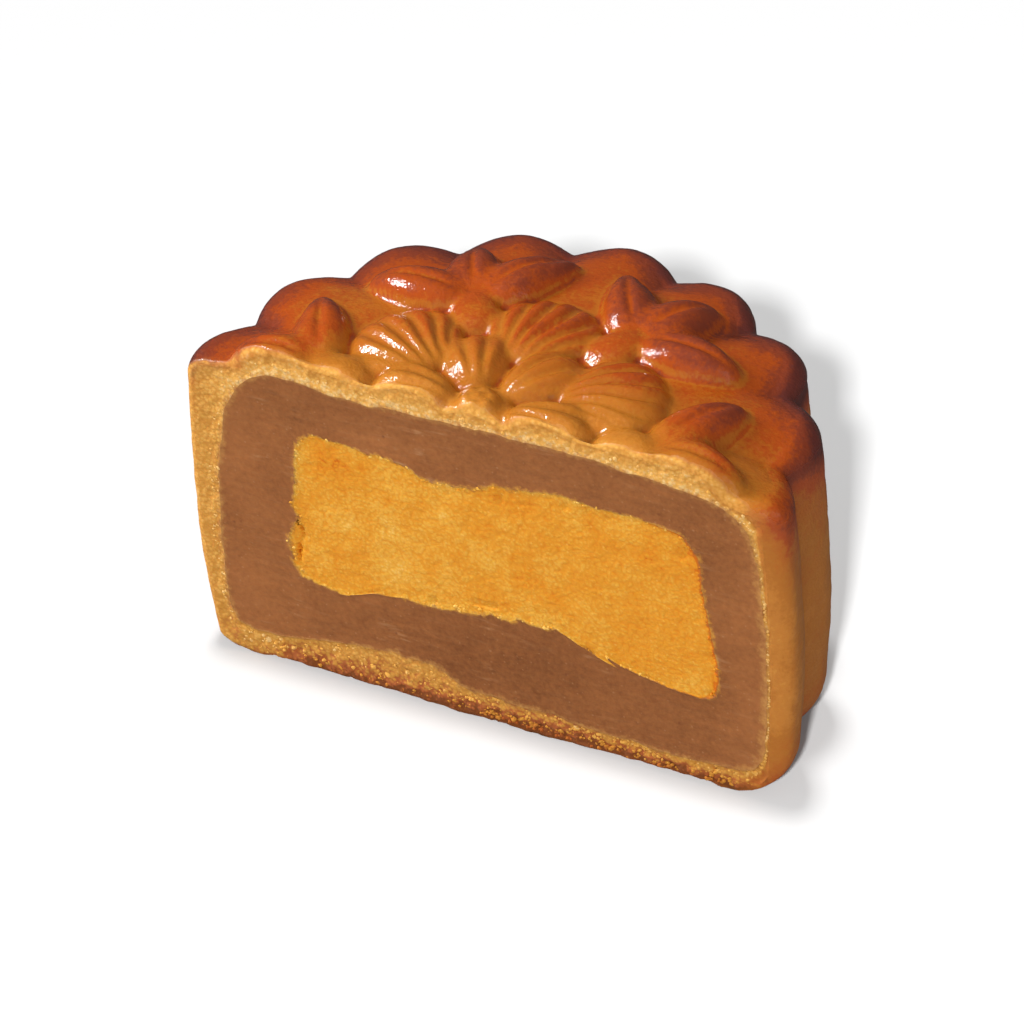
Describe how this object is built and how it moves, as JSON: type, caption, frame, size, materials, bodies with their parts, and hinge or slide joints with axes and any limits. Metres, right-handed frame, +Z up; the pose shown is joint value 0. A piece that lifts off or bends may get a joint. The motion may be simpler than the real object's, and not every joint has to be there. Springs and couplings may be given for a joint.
{
  "type": "lava mooncake",
  "caption": "Half a round scalloped mooncake with a raised blossom on its glazed crust, cut upright to show sweet paste round a custard core.",
  "frame": {"origin": "bottom centre of the bounding box, on the surface that the base rests on", "axes": "+X to the right along the cut face, +Y from the cut face to the rounded back, +Z up; the cut face looks towards -Y"},
  "size_m": [0.0512, 0.0269, 0.0311],
  "materials": {
    "crust": "baked pastry, egg glazed on top, matt at the side, pale crumb at the cut",
    "paste": "smooth waxy paste, cut",
    "custard": "fine grained set custard, cut"
  },
  "bodies": {
    "root": {"crust": "crust", "paste": "paste", "custard": "custard"}
  },
  "joints": []
}
